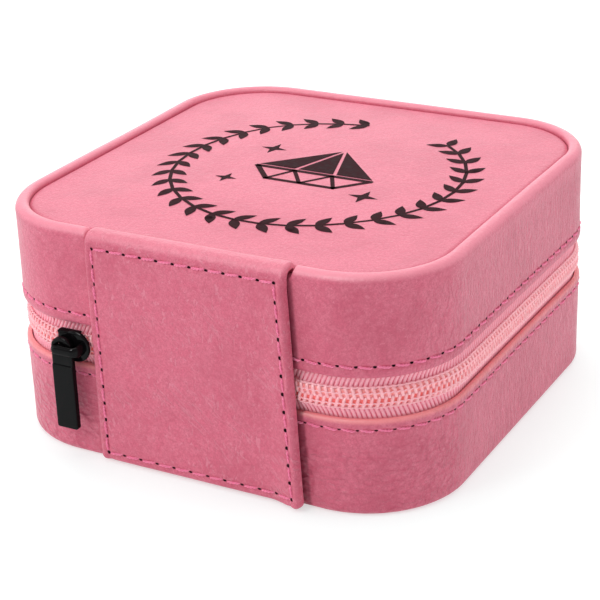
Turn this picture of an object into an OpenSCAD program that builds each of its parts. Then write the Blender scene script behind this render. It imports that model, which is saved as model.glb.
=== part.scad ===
// Zipped travel jewellery case in soft leather.
// +Z is up. The origin is the centre of the underside. The hinge is at +Y and the case opens at -Y.

/* [Case] */
// Width and depth of the case
case_size = 100; // [90:1:120]
// Height of the closed case
case_height = 50.5; // [46:0.5:60]
// Radius of the upright corners
corner_r = 21; // [19:0.5:24]
// Height of the strip of zip that shows between the two leather edges
zip_gap = 8.5; // [8:0.1:9.5]

/* [Walls] */
// Thickness of the leather on the walls
leather_t = 1.2; // [1:0.1:1.4]
// Thickness of the stiff board inside the walls
board_t = 2; // [1.8:0.1:2.4]
// Thickness of the velvet lining
lining_t = 0.8; // [0.6:0.1:1]
// Width of the rolled rim round the lid's top
rim_w = 2.8; // [2.6:0.1:3.6]

/* [Hinge panel] */
// Width of the leather hinge panel
hinge_w = 45.8; // [38:0.2:46]
// How far the hinge panel is sewn on from the middle
hinge_shift = -0.7; // [-1:0.1:0]
// Thickness of the hinge panel with its turned edges
hinge_t = 1.5; // [1.2:0.1:1.6]

/* [Zip] */
// Distance from the wall's face in to the middle of the zip tape
zip_inset = 1.5; // [1.5:0.05:1.6]
// Length of the slider along the zip
slider_l = 7.6; // [7:0.1:8]
// Height of the slider across the zip
slider_h = 6.9; // [6.9:0.1:7.4]
// Length of the pull below its eye
pull_l = 18; // [12:0.5:19]
// Width of the pull
pull_w = 5.0; // [4.6:0.1:5.6]

/* [Inside] */
// Number of ring rolls
roll_count = 5; // [5:1:5]
// Length of the ring rolls
roll_l = 30; // [24:1:36]
// Height of the ring rolls
roll_h = 14; // [10:0.5:15]
// Thickness of the dividers
divider_t = 1.6; // [1.2:0.1:2.4]
// Height of the dividers
divider_h = 14; // [10:0.5:15.5]
// Half the width of the mirror
mirror_half = 33; // [26:1:34]

/* [Hidden] */
$fn = 96;

half = case_size / 2;
corner_c = half - corner_r;
mid_z = case_height / 2;
lid_edge_z = mid_z + zip_gap / 2;
base_edge_z = mid_z - zip_gap / 2;
// How far a cut runs clear of the solid it cuts
over = 1;
bay_over = 5;
// Clearances between separate pieces
fit_gap = 0.1;
soft_gap = 0.3;

// Insets of the wall's layers from its outer face
board_in = leather_t;
lining_in = board_in + board_t;
room_in = lining_in + lining_t;

// Zip: its path turns a little wider than the walls do
zip_half = half - zip_inset;
zip_corner_shift = 2;
zip_c = corner_c - zip_corner_shift;
zip_r = zip_half - zip_c;
tape_t = 0.6;
coil_t = 1.6;
coil_half_h = 2.2;
slit = 0.6;
sewn_h = 3.6;
tape_half_h = zip_gap / 2 + sewn_h - fit_gap;
end_half_h = zip_gap / 2 - 0.25;

// Lid heights
rim_r = rim_w / 2;
rim_z = case_height - rim_r;
lid_board_top = case_height - 2.7;
lid_ceiling = lid_board_top - board_t;
lid_room_top = lid_ceiling - lining_t;
foam_t = 1;
top_leather_t = 1;
panel_z = lid_board_top + foam_t;
panel_top = panel_z + top_leather_t;
lining_step = 0.2;

// Mirror and its frame
mirror_t = 1.6;
mirror_r = 8;
frame_w = 5;
frame_r = 12;
frame_lip = 0.6;
frame_overlap = 1.5;

// Base heights
bottom_t = 1.2;
wrap_lift = 0.2;
wrap_w = 7;
wrap_r = 1.8;
floor_z = bottom_t + board_t;
room_floor = floor_z + lining_t;
edge_r = 0.8;
roll_crown_r = 6;

// Hinge panel, and the line that the lid turns about
hinge_x0 = hinge_shift - hinge_w / 2;
hinge_x1 = hinge_shift + hinge_w / 2;
hinge_face = half + hinge_t;
hinge_foot = 0.5;
hinge_crest = case_height + 0.3;
backing_half_w = 16;
backing_t = 1;
thread_w = 0.5;
thread_t = 0.3;
seam_in = 2.4;
hinge_seam = 2;
hinge_seam_top = case_height - 2.9;
hinge_seam_foot = hinge_foot + 1.9;
fold_clear = 0.7;

// Slider and pull
slider_gap = 0.4;
slider_x = hinge_x1 + slider_gap + slider_l / 2;
wing_t = 1.1;
tail_share = 0.92;
outer_wing_y = zip_half + tape_t / 2 + coil_t + slider_gap;
inner_wing_y = zip_half - tape_t / 2 - 0.65;
flange_t = 0.7;
flange_gap = 0.25;
flange_start = 1;
post_r = 0.45;
post_in = 1.4;
bridge_half_h = 1;
bridge_nose_half_h = 1;
bridge_nose_l = 1;
bridge_gap = 1.9;
bridge_t = 1.2;
bridge_foot_y = outer_wing_y + wing_t;
leg_r = 0.75;
leg_in = 2;
bridge_end_in = 0.1;
leg_x = slider_x + slider_l / 2 - leg_in;
eye_r = 1.6;
pull_t = 1.2;
pull_gap = 0.5;
grip_t = 1.4;
grip_drop = 3.7;
pull_y = bridge_foot_y + pull_gap;
zip_end_l = 3;
zip_end_x = slider_x + slider_l / 2 + zip_end_l;
stop_x = 18;
stop_half_l = 0.55;

// Rolls and dividers
roll_x0 = -half + room_in + soft_gap;
roll_x1 = roll_x0 + roll_l;
room_half = half - room_in;
roll_pitch = 2 * room_half / roll_count;
divider_x = roll_x1 + soft_gap + fit_gap;
cross_x0 = divider_x + divider_t + fit_gap / 2;
cross_y = room_half / 3;

// Square with round corners, centred on the origin
module outline(h, r) {
    square([2 * h, 2 * (h - r)], center = true);
    square([2 * (h - r), 2 * h], center = true);
    for (x = [-1, 1], y = [-1, 1])
        translate([x * (h - r), y * (h - r)]) circle(r);
}

module slab(h, r, z0, z1)
    translate([0, 0, z0]) linear_extrude(z1 - z0) outline(h, r);

// Slab whose side lies a given distance inside the case's outer face
module wall_slab(inset, z0, z1)
    slab(half - inset, corner_r - inset, z0, z1);

// Slab whose side lies a given distance outside the middle of the zip tape
module zip_slab(outset, z0, z1)
    slab(zip_half + outset, zip_r + outset, z0, z1);

// Sweeps a profile round the walls. x is 0 at the outer face and y is the height.
module wall_sweep() {
    for (a = [0:90:270]) rotate(a) {
        translate([corner_c, corner_c, 0])
            rotate_extrude(angle = 90) translate([corner_r, 0]) children();
        translate([0, corner_c, 0])
            rotate([90, 0, 0]) linear_extrude(2 * corner_c) translate([half, 0]) children();
    }
}

// Points of an arc about c
function arc(c, r, a0, a1, steps) =
    [for (i = [0:steps]) let (a = a0 + (a1 - a0) * i / steps) c + r * [cos(a), sin(a)]];

// Box between two corners
module block(a, b) translate(a) cube(b - a);

// Room for the hinge panel, between two heights
module hinge_bay(y0, z0, z1)
    block([hinge_x0 - fit_gap, y0, z0], [hinge_x1 + fit_gap, half + bay_over, z1]);

// ---- Base ----

module base_board()
    color("tan") difference() {
        union() {
            wall_slab(board_in, bottom_t, base_edge_z - sewn_h);
            zip_slab(-tape_t / 2, base_edge_z - sewn_h, base_edge_z);
        }
        wall_slab(lining_in, floor_z, base_edge_z + over);
    }

module base_wall_cover()
    color("palevioletred") wall_sweep() polygon(concat(
        [[-wrap_w, bottom_t], [-wrap_w, wrap_lift]],
        arc([-wrap_r, wrap_lift + wrap_r], wrap_r, -90, 0, 6),
        arc([-edge_r, base_edge_z - edge_r], edge_r, 0, 90, 4),
        [[-leather_t, base_edge_z], [-leather_t, bottom_t]]
    ));

module base_bottom_panel()
    color("palevioletred") wall_slab(wrap_w + fit_gap, 0, bottom_t);

module base_lining()
    color("mistyrose") difference() {
        wall_slab(lining_in, floor_z, base_edge_z - lining_step);
        wall_slab(room_in, room_floor, base_edge_z + over);
    }

// One row of thread round the wall, broken where the hinge panel is
module wall_thread(z)
    color("orchid") difference() {
        wall_slab(-thread_t, z - thread_w / 2, z + thread_w / 2);
        wall_slab(0, z - over, z + over);
        hinge_bay(half - corner_r, z - over, z + over);
    }

module ring_roll(i) {
    y = -room_half + (i - 0.5) * roll_pitch;
    roll_half = roll_pitch / 2 - 2 * fit_gap;
    color("mistyrose") intersection() {
        translate([roll_x0, y, room_floor]) rotate([90, 0, 90]) linear_extrude(roll_l)
            polygon(concat(
                [[-roll_half, 0], [roll_half, 0]],
                arc([roll_half - roll_crown_r, roll_h - roll_crown_r], roll_crown_r, 0, 90, 8),
                arc([roll_crown_r - roll_half, roll_h - roll_crown_r], roll_crown_r, 90, 180, 8)
            ));
        wall_slab(room_in + soft_gap, 0, base_edge_z);
    }
}

module long_divider()
    color("mistyrose")
        block([divider_x, -room_half + fit_gap, room_floor],
              [divider_x + divider_t, room_half - fit_gap, room_floor + divider_h]);

module cross_divider(side)
    color("mistyrose") translate([0, side * cross_y, 0])
        block([cross_x0, -divider_t / 2, room_floor],
              [room_half - fit_gap, divider_t / 2, room_floor + divider_h]);

// ---- Zip ----

// Band of one zip layer, from in to out, between two heights above the middle
module zip_band(in, out, z0, z1)
    difference() {
        zip_slab(out, mid_z + z0, mid_z + z1);
        zip_slab(in, mid_z + z0 - over, mid_z + z1 + over);
    }

// Cuts away the zip between two places along the back wall
module zip_stretch(x0, x1)
    block([x0, corner_c / 2, 0], [x1, half + bay_over, case_height]);

module zip_tape(z0, z1) color("lightpink") zip_band(-tape_t / 2, tape_t / 2, z0, z1);

// The coil stands proud of the walls, and is pressed flat where the hinge panel lies over it
module zip_coil(z0, z1)
    color("salmon") difference() {
        zip_band(tape_t / 2, tape_t / 2 + coil_t, z0, z1);
        hinge_bay(half - fit_gap, 0, case_height);
    }

module zip_tape_lower()
    difference() {
        zip_tape(-tape_half_h, -slit);
        zip_stretch(-stop_x, stop_x);
    }

module zip_coil_lower()
    difference() {
        zip_coil(-coil_half_h, -slit);
        zip_stretch(-stop_x, stop_x);
    }

module zip_tape_upper()
    difference() {
        zip_tape(slit, tape_half_h);
        zip_stretch(-stop_x, zip_end_x);
    }

module zip_coil_upper()
    difference() {
        zip_coil(slit, coil_half_h);
        zip_stretch(-stop_x, zip_end_x);
    }

// The upper tape's last stretch, which the slider and the top stop hold to the lower tape
module zip_tape_end()
    intersection() {
        zip_tape(slit, end_half_h);
        zip_stretch(stop_x, zip_end_x - soft_gap);
    }

module zip_coil_end()
    intersection() {
        zip_coil(slit, coil_half_h);
        zip_stretch(stop_x, zip_end_x - soft_gap);
    }

// Clip that closes the zip's end
module zip_stop(side)
    color("dimgray") translate([side * (stop_x - stop_half_l - fit_gap / 2), 0, mid_z])
        block([-stop_half_l, zip_half - tape_t / 2, -coil_half_h], [stop_half_l, half - fit_gap, coil_half_h]);

// ---- Hinge ----

module hinge_panel_lower()
    color("palevioletred") translate([hinge_x0, 0, 0])
        rotate([90, 0, 90]) linear_extrude(hinge_w) polygon(concat(
            [[half, hinge_foot]],
            arc([hinge_face - edge_r, hinge_foot + edge_r], edge_r, -90, 0, 4),
            [[hinge_face, mid_z], [half, mid_z]]
        ));

module hinge_panel_upper()
    color("palevioletred") translate([hinge_x0, 0, 0])
        rotate([90, 0, 90]) linear_extrude(hinge_w) polygon(concat(
            [[half, mid_z], [hinge_face, mid_z]],
            arc([hinge_face - 2.5, hinge_crest - 2.5], 2.5, 0, 90, 8),
            arc([half - rim_w + 1.2, hinge_crest - 1.2], 1.2, 90, 180, 4),
            [[half - rim_w, lid_board_top], [half, lid_board_top]]
        ));

module hinge_backing(z0, z1)
    color("mistyrose")
        block([hinge_shift - backing_half_w, half - backing_t, z0],
              [hinge_shift + backing_half_w, half, z1]);

// Half of the rectangle of thread on the hinge panel: up both sides from z0 and across at z1
module hinge_thread(z0, z1) {
    x0 = hinge_x0 + hinge_seam;
    x1 = hinge_x1 - hinge_seam;
    y = [hinge_face, hinge_face + thread_t];
    end = z1 > z0 ? -thread_w : thread_w;
    color("orchid") {
        for (x = [x0, x1])
            block([x - thread_w / 2, y[0], min(z0, z1)], [x + thread_w / 2, y[1], max(z0, z1)]);
        block([x0, y[0], min(z1, z1 + end)], [x1, y[1], max(z1, z1 + end)]);
    }
}

// ---- Lid ----

module lid_board()
    color("tan") difference() {
        union() {
            zip_slab(-tape_t / 2, lid_edge_z, lid_edge_z + sewn_h);
            wall_slab(board_in, lid_edge_z + sewn_h, lid_board_top);
        }
        wall_slab(lining_in, lid_edge_z - over, lid_ceiling);
    }

module lid_wall_cover()
    color("palevioletred") difference() {
        wall_sweep() polygon(concat(
            [[-leather_t, lid_edge_z]],
            arc([-edge_r, lid_edge_z + edge_r], edge_r, -90, 0, 4),
            arc([-rim_r, rim_z], rim_r, 0, 180, 12),
            [[-rim_w, lid_board_top], [-leather_t, lid_board_top]]
        ));
        hinge_bay(half - rim_w - over, lid_board_top, case_height + over);
    }

module lid_top_foam()
    color("white") wall_slab(rim_w + fit_gap + top_leather_t, lid_board_top, panel_z);

module lid_top_panel()
    color("palevioletred") difference() {
        wall_slab(rim_w + fit_gap, lid_board_top, panel_top);
        wall_slab(rim_w + fit_gap + top_leather_t, lid_board_top - over, panel_z);
    }

module lid_lining()
    color("mistyrose") difference() {
        wall_slab(lining_in, lid_edge_z + lining_step, lid_ceiling);
        wall_slab(room_in, lid_edge_z - over, lid_room_top);
    }

module mirror_frame()
    color("palevioletred") difference() {
        slab(mirror_half + frame_w, frame_r, lid_room_top - mirror_t - frame_lip, lid_room_top);
        slab(mirror_half + fit_gap, mirror_r + fit_gap, lid_room_top - mirror_t, lid_room_top + over);
        slab(mirror_half - frame_overlap, mirror_r - frame_overlap,
             lid_room_top - mirror_t - frame_lip - over, lid_room_top);
    }

module mirror()
    color("lightblue") slab(mirror_half, mirror_r, lid_room_top - mirror_t, lid_room_top);

// ---- Slider and pull ----

// Outline of a slider wing: a broad rounded nose towards the hinge panel and a narrower tail
module wing() {
    nose_r = slider_h / 2;
    intersection() {
        union() {
            translate([-slider_l / 2 + nose_r, 0]) circle(nose_r);
            translate([0, -nose_r * tail_share]) square([slider_l / 2, 2 * nose_r * tail_share]);
        }
        square([slider_l, slider_h], center = true);
    }
}

module wing_plate(y0, y1)
    translate([slider_x, y1, mid_z]) rotate([90, 0, 0]) linear_extrude(y1 - y0) wing();

module slider_body()
    color("black") {
        wing_plate(outer_wing_y, outer_wing_y + wing_t);
        wing_plate(inner_wing_y - wing_t, inner_wing_y);
        translate([slider_x - slider_l / 2 + post_in, inner_wing_y - wing_t / 2, mid_z])
            rotate([-90, 0, 0]) cylinder(r = post_r, h = outer_wing_y - inner_wing_y + wing_t);
        for (side = [-1, 1])
            translate([slider_x, 0, mid_z + side * (coil_half_h + flange_gap + flange_t / 2)])
                block([-flange_start, zip_half + tape_t / 2 + flange_gap, -flange_t / 2],
                      [slider_l / 2, outer_wing_y + wing_t / 2, flange_t / 2]);
    }

// Bar from the nose over the pull's eye, on a foot at the nose and a leg that stands in the eye
module slider_bridge() {
    nose_x = slider_x - slider_l / 2 + bridge_nose_l;
    end_x = slider_x + slider_l / 2 - bridge_end_in;
    color("black") {
        translate([leg_x, bridge_foot_y, mid_z])
            rotate([-90, 0, 0]) cylinder(r = leg_r, h = bridge_gap + bridge_t / 2);
        block([nose_x, bridge_foot_y, mid_z - bridge_nose_half_h],
              [nose_x + bridge_nose_l, bridge_foot_y + bridge_gap, mid_z + bridge_nose_half_h]);
        translate([0, 0, mid_z - bridge_half_h]) linear_extrude(2 * bridge_half_h)
            polygon(concat(
                arc([nose_x + bridge_t, bridge_foot_y + bridge_gap], bridge_t, 180, 90, 4),
                arc([end_x - bridge_t, bridge_foot_y + bridge_gap], bridge_t, 90, 0, 4)
            ));
    }
}

// Flat tab with an eye round the bridge's leg, and a thicker grip below it
module pull_tab()
    color("black") {
        translate([leg_x, pull_y + pull_t, mid_z]) rotate([90, 0, 0])
            linear_extrude(pull_t) difference() {
                union() {
                    circle(pull_w / 2);
                    translate([-pull_w / 2, -pull_l]) square([pull_w, pull_l]);
                }
                circle(eye_r);
            }
        block([leg_x - pull_w / 2, pull_y, mid_z - pull_l],
              [leg_x + pull_w / 2, pull_y + grip_t, mid_z - grip_drop]);
    }

base_board();
base_wall_cover();
base_bottom_panel();
base_lining();
wall_thread(base_edge_z - seam_in);  // base_thread
for (i = [1:roll_count])
    ring_roll(i);
long_divider();
cross_divider(-1);  // cross_divider_1
cross_divider(1);  // cross_divider_2
zip_tape_lower();
zip_coil_lower();
zip_tape_end();
zip_coil_end();
zip_stop(1);  // zip_top_stop
zip_stop(-1);  // zip_bottom_stop
hinge_panel_lower();
hinge_backing(base_edge_z, mid_z);  // hinge_backing_lower
hinge_thread(mid_z - fold_clear, hinge_seam_foot);  // hinge_thread_lower
lid_board();
lid_wall_cover();
lid_top_foam();
lid_top_panel();
lid_lining();
wall_thread(lid_edge_z + seam_in);  // lid_thread
mirror_frame();
mirror();
zip_tape_upper();
zip_coil_upper();
hinge_panel_upper();
hinge_backing(mid_z, lid_edge_z);  // hinge_backing_upper
hinge_thread(mid_z + fold_clear, hinge_seam_top);  // hinge_thread_upper
slider_body();
slider_bridge();
pull_tab();
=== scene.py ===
"""Zipped leather jewellery case: the looks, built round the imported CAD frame.

Lengths are in millimetres in this file, and become metres when a mesh is made.
+Z is up, the leather hinge is at +Y, and the slider is parked near +X.
"""
import math

import bmesh
import bpy
import numpy as np
from mathutils import Matrix, Vector, noise
from mathutils.bvhtree import BVHTree


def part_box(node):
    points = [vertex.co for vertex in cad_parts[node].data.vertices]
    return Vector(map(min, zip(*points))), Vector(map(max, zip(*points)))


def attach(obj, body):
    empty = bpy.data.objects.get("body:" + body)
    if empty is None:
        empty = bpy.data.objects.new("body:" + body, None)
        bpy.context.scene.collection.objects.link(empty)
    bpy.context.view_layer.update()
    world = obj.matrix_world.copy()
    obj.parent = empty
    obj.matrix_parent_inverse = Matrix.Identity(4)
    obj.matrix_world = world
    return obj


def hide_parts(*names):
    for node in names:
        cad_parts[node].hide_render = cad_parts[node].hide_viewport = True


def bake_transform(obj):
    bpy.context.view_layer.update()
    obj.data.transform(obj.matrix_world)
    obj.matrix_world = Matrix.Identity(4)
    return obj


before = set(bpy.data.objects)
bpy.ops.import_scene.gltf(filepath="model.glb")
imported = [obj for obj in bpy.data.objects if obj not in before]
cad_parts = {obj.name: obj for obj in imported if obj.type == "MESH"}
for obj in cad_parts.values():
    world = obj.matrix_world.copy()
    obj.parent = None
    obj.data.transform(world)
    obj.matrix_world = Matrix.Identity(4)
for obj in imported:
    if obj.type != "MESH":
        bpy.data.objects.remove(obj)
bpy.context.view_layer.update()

MM = 0.001
TAU = 2 * math.pi
RIGHT_ANGLE = math.pi / 2


def box(node):
    """Lowest and highest corner of a CAD node, in millimetres."""
    low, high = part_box(node)
    return np.array(low) / MM, np.array(high) / MM


# ---- Sizes that the frame gives ----

BASE_HIGH = box("base_wall_cover")[1]
LID_LOW, LID_HIGH = box("lid_wall_cover")
PANEL_LOW, PANEL_HIGH = box("hinge_panel_lower")
CREST = box("hinge_panel_upper")[1][2]
TOP_LOW, TOP_HIGH = box("lid_top_panel")
TAPE_LOW, TAPE_HIGH = box("zip_tape_lower")
BACKING_LOW, BACKING_HIGH = box("hinge_backing_lower")

HALF = BASE_HIGH[0]
MID_Z = PANEL_HIGH[2]
BASE_EDGE = BASE_HIGH[2]
LID_EDGE = LID_LOW[2]
LID_TOP = LID_HIGH[2]
BOARD_TOP = TOP_LOW[2]
RIM_W = HALF - TOP_HIGH[0]
ZIP_HALF = TAPE_HIGH[0] - 0.3
HINGE_FACE = PANEL_HIGH[1]

# ---- Sizes that the frame's boxes don't show ----

CORNER_R = 21.0
ZIP_R = 21.5
ROOM_HALF = box("base_lining")[1][0] - 0.8
ROOM_R = CORNER_R - (HALF - ROOM_HALF)
BOARD_IN = 1.95
SEAM_IN = 2.4
GROOVE = 0.22
WALL_PITCH = 3.6
PANEL_PITCH = 3.85
PANEL_SEAM = 2.0
PANEL_SEAM_FOOT = 2.4
PANEL_SEAM_TOP = CREST - 3.2
RUN_OUT_FOOT = -2.2
RUN_OUT_RISE = 0.054
COIL_PITCH = 1.23
COIL_REACH = 2.1
COIL_OUT = 1.25
CHAIN_PRESS = 0.45
RIB_PITCH = 0.90
TAPE_NEAR = 0.45
TAPE_R = 0.2

# Half width and corner radius of the rounded squares that things run round
WALL = (HALF, CORNER_R)
ZIP = (ZIP_HALF, ZIP_R)
ROOM = (ROOM_HALF, ROOM_R)
TOP = (TOP_HIGH[0], CORNER_R - RIM_W)


# ---- Paths and profiles ----

def unit(vectors):
    return vectors / np.linalg.norm(vectors, axis=-1, keepdims=True)


def loop_length(path):
    half, r = path
    return 8 * (half - r) + TAU * r


def spot(s, path):
    """Points and outward normals at distances s along a path, clockwise from the middle of +Y."""
    half, r = path
    c = half - r
    bend = RIGHT_ANGLE * r
    quarter = 2 * c + bend
    s = np.mod(np.asarray(s, float), 4 * quarter)
    turn = np.floor(s / quarter)
    u = s - turn * quarter
    a = np.clip((u - c) / r, 0, RIGHT_ANGLE)
    nx, ny = np.sin(a), np.cos(a)
    x = np.minimum(u, c) + r * nx
    y = c + r * ny - np.maximum(u - c - bend, 0)
    ca, sa = np.cos(turn * RIGHT_ANGLE), np.sin(turn * RIGHT_ANGLE)
    return x * ca + y * sa, y * ca - x * sa, nx * ca + ny * sa, ny * ca - nx * sa


def swept(path, s, out, z):
    """Points at distances s along a path, moved out from it, at heights z."""
    x, y, nx, ny = spot(s, path)
    return np.stack(np.broadcast_arrays(x + nx * out, y + ny * out, z), -1)


def all_round(path, spacing):
    """Even distances round a path, as a column."""
    count = int(round(loop_length(path) / spacing))
    return (np.arange(count) * loop_length(path) / count)[:, None]


def distance_at_x(x, path):
    """Distance along a path, from the middle of +Y, of the place at x on the back wall."""
    half, r = path
    c = half - r
    if abs(x) <= c:
        return x
    return math.copysign(c + r * math.asin((abs(x) - c) / r), x)


def outside(x, y, path):
    """How far points lie outside a rounded square, negative inside it."""
    half, r = path
    qx, qy = np.abs(x) - (half - r), np.abs(y) - (half - r)
    return np.hypot(np.maximum(qx, 0), np.maximum(qy, 0)) + np.minimum(np.maximum(qx, qy), 0) - r


def rounded(corners, spacing=0.4, closed=False):
    """Points along a polyline of (x, y, radius) corners, with each corner rounded to its radius."""
    n = len(corners)
    points = []
    for i, (x, y, r) in enumerate(corners):
        p = np.array([x, y], float)
        if r <= 0 or (not closed and i in (0, n - 1)):
            points.append(p)
            continue
        d0, d1 = (unit(np.array(corners[j][:2], float) - p) for j in (i - 1, (i + 1) % n))
        half_angle = math.acos(np.clip(d0 @ d1, -1, 1)) / 2
        cut = r / math.tan(half_angle)
        centre = p + unit(d0 + d1) * r / math.sin(half_angle)
        a, b = p + d0 * cut - centre, p + d1 * cut - centre
        sweep = math.pi - 2 * half_angle
        steps = max(2, math.ceil(sweep * r / spacing), math.ceil(sweep / 0.3))
        t = np.arange(steps + 1)[:, None] / steps
        points += list(centre + (np.sin((1 - t) * sweep) * a + np.sin(t * sweep) * b) / math.sin(sweep))
    ends = points + points[:1] if closed else points
    filled = []
    for p, q in zip(ends, ends[1:]):
        steps = max(1, math.ceil(np.linalg.norm(q - p) / spacing))
        filled += [p + (q - p) * k / steps for k in range(steps)]
    return np.array(filled if closed else filled + [points[-1]])


def travelled(line):
    """Distance along a line at each of its points."""
    return np.concatenate([[0], np.cumsum(np.linalg.norm(np.diff(line, axis=0), axis=1))])


def around(steps):
    """Unit vectors in steps round a circle."""
    a = np.arange(steps) * TAU / steps
    return np.column_stack([np.cos(a), np.sin(a)])


def smoothstep(x, low, high):
    t = np.clip((x - low) / (high - low), 0, 1)
    return t * t * (3 - 2 * t)


def rough(points, scale, seed=0.0):
    """Smooth noise from -1 to 1 at each of the points, with features 1 / scale long."""
    shifted = np.asarray(points, float) * np.asarray(scale, float) + seed
    return np.array([noise.noise(p) for p in shifted.reshape(-1, 3)]).reshape(shifted.shape[:-1])


# ---- Meshes ----

def quads(numbers):
    """Quads over a 2-D array of point numbers."""
    corners = numbers[:-1, :-1], numbers[1:, :-1], numbers[1:, 1:], numbers[:-1, 1:]
    return np.stack(corners, -1).reshape(-1, 4).tolist()


def linked(name, data):
    """An object in the scene that holds the data."""
    thing = bpy.data.objects.new(name, data)
    bpy.context.scene.collection.objects.link(thing)
    return thing


def sides_of(line, up):
    """Unit vectors at each point of a line: one across it, and one as near to up as it can be."""
    tangent = unit(np.gradient(line, axis=0))
    side = unit(np.cross(tangent, np.broadcast_to(up, line.shape)))
    return side, np.cross(side, tangent)


class Pile:
    """Collects the points and faces of many shapes for one mesh."""

    def __init__(self):
        self.points = []
        self.faces = []
        self.count = 0

    def add(self, points, faces):
        self.points.append(np.asarray(points, float).reshape(-1, 3))
        self.faces += [[i + self.count for i in face] for face in faces]
        self.count += len(self.points[-1])
        return self

    def grid(self, points, wrap_rows=False, wrap_columns=False):
        """Adds points of shape (rows, columns, 3) joined by quads."""
        rows, columns = points.shape[:2]
        numbers = np.arange(rows * columns).reshape(rows, columns)
        if wrap_rows:
            numbers = np.vstack([numbers, numbers[:1]])
        if wrap_columns:
            numbers = np.hstack([numbers, numbers[:, :1]])
        return self.add(points, quads(numbers))

    def rod(self, rings, inward=False):
        """Adds a skin through rings of points, with a face over both ends."""
        start, size = self.count, rings.shape[1]
        self.grid(rings, wrap_columns=True)
        first = list(range(start, start + size))
        last = list(range(self.count - size, self.count))
        self.faces += [first, last[::-1]] if inward else [first[::-1], last]
        return self

    def band(self, rows):
        """Adds rows of points that run in a closed loop, with a face over both sides of the loop."""
        return self.rod(rows[:, ::-1].transpose(1, 0, 2))

    def tube(self, line, up, width, thickness=None, sides=8):
        """Adds a tube along a line. width is its radius across, and thickness its radius along up."""
        line = np.asarray(line, float)
        side, rise = sides_of(line, up)
        width = np.broadcast_to(width, len(line))[:, None, None]
        thickness = width if thickness is None else thickness
        circle = around(sides)
        return self.rod(line[:, None] + side[:, None] * width * circle[:, :1]
                        + rise[:, None] * thickness * circle[:, 1:])

    def make(self, name, material, sharp=50.0):
        """The piece with this pile's mesh. Its points carry their place at rest."""
        points = np.concatenate(self.points)
        mesh = bpy.data.meshes.new(name)
        mesh.from_pydata((points * MM).tolist(), [], self.faces)
        mesh.polygons.foreach_set("use_smooth", [True] * len(mesh.polygons))
        mesh.set_sharp_from_angle(angle=math.radians(sharp))
        rest = mesh.attributes.new("rest", "FLOAT_VECTOR", "POINT")
        rest.data.foreach_set("vector", points.astype(np.float32).ravel())
        mesh.materials.append(material)
        return linked(name, mesh)


# ---- Materials ----

def rgba(colour):
    """What a colour socket takes: another socket, or a colour with its opacity."""
    return colour if isinstance(colour, bpy.types.NodeSocket) else (*colour, 1)


class Shader:
    """A node material under a Principled BSDF. body is its colour so far."""

    def __init__(self, name, **settings):
        self.material = bpy.data.materials.new(name)
        self.material.use_nodes = True
        self.tree = self.material.node_tree
        self.bsdf = self.tree.nodes["Principled BSDF"]
        for key, value in settings.items():
            self.bsdf.inputs[key.replace("_", " ")].default_value = value

    def put(self, socket, value):
        if isinstance(value, bpy.types.NodeSocket):
            self.tree.links.new(value, socket)
        else:
            socket.default_value = value

    def add(self, kind, inputs, output=0, **settings):
        """Adds a node, and gives one of its outputs."""
        node = self.tree.nodes.new("ShaderNode" + kind)
        for key, value in settings.items():
            setattr(node, key, value)
        for key, value in inputs.items():
            self.put(node.inputs[key], value)
        return node.outputs[output]

    def vector(self, operation, a, b):
        return self.add("VectorMath", {0: a, 1: b}, operation=operation)

    def place(self, on_cad=False):
        """Where a point lies at rest, in millimetres, on a built piece or on a CAD node."""
        if on_cad:
            return self.vector("MULTIPLY", self.add("TexCoord", {}, "Object"), (1 / MM,) * 3)
        return self.add("Attribute", {}, "Vector", attribute_name="rest")

    def warped(self, place, scale, amount):
        """Places pushed about by smooth noise, by up to about that amount."""
        push = self.add("TexNoise", {"Vector": place, "Scale": scale, "Detail": 2.0}, "Color")
        centred = self.vector("SUBTRACT", push, (0.5, 0.5, 0.5))
        return self.vector("ADD", self.vector("MULTIPLY", centred, (amount,) * 3), place)

    def noise(self, place, scale, detail=3.0, roughness=0.55, distortion=0.0):
        return self.add("TexNoise", {"Vector": place, "Scale": scale, "Detail": detail,
                                     "Roughness": roughness, "Distortion": distortion}, "Fac")

    def cells(self, place, scale):
        """Rounded cells: 0 at their middles, and largest on the lines between them."""
        return self.add("TexVoronoi", {"Vector": place, "Scale": scale, "Smoothness": 0.2}, "Distance",
                        feature="SMOOTH_F1")

    def ramp(self, value, low, high, to_low=0.0, to_high=1.0):
        """Leads values from low to high smoothly from to_low to to_high."""
        return self.add("MapRange", {"Value": value, "From Min": low, "From Max": high,
                                     "To Min": to_low, "To Max": to_high},
                        "Result", interpolation_type="SMOOTHSTEP")

    def times(self, product, *others):
        for value in others:
            product = self.add("Math", {0: product, 1: value}, operation="MULTIPLY")
        return product

    def part(self, place, axis):
        return self.add("SeparateXYZ", {0: place}, axis)

    def mixed(self, factor, a, b):
        return self.add("Mix", {0: factor, 6: rgba(a), 7: rgba(b)}, 2, data_type="RGBA")

    def tint(self, colour, *masks):
        """Lays a colour over the body as far as the product of the masks."""
        self.body = self.mixed(self.times(*masks), self.body, colour)

    def finished(self, roughness, *layers):
        """The material, with its body, its roughness and (height, depth in millimetres) layers of relief."""
        self.put(self.bsdf.inputs["Base Color"], rgba(self.body))
        self.put(self.bsdf.inputs["Roughness"], roughness)
        below = {}
        for height, depth in layers:
            inputs = {"Height": height, "Distance": depth * MM, "Strength": 1.0, **below}
            normal = self.add("Bump", inputs, "Normal")
            below = {"Normal": normal}
        if layers:
            self.put(self.bsdf.inputs["Normal"], normal)
        return self.material


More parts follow.
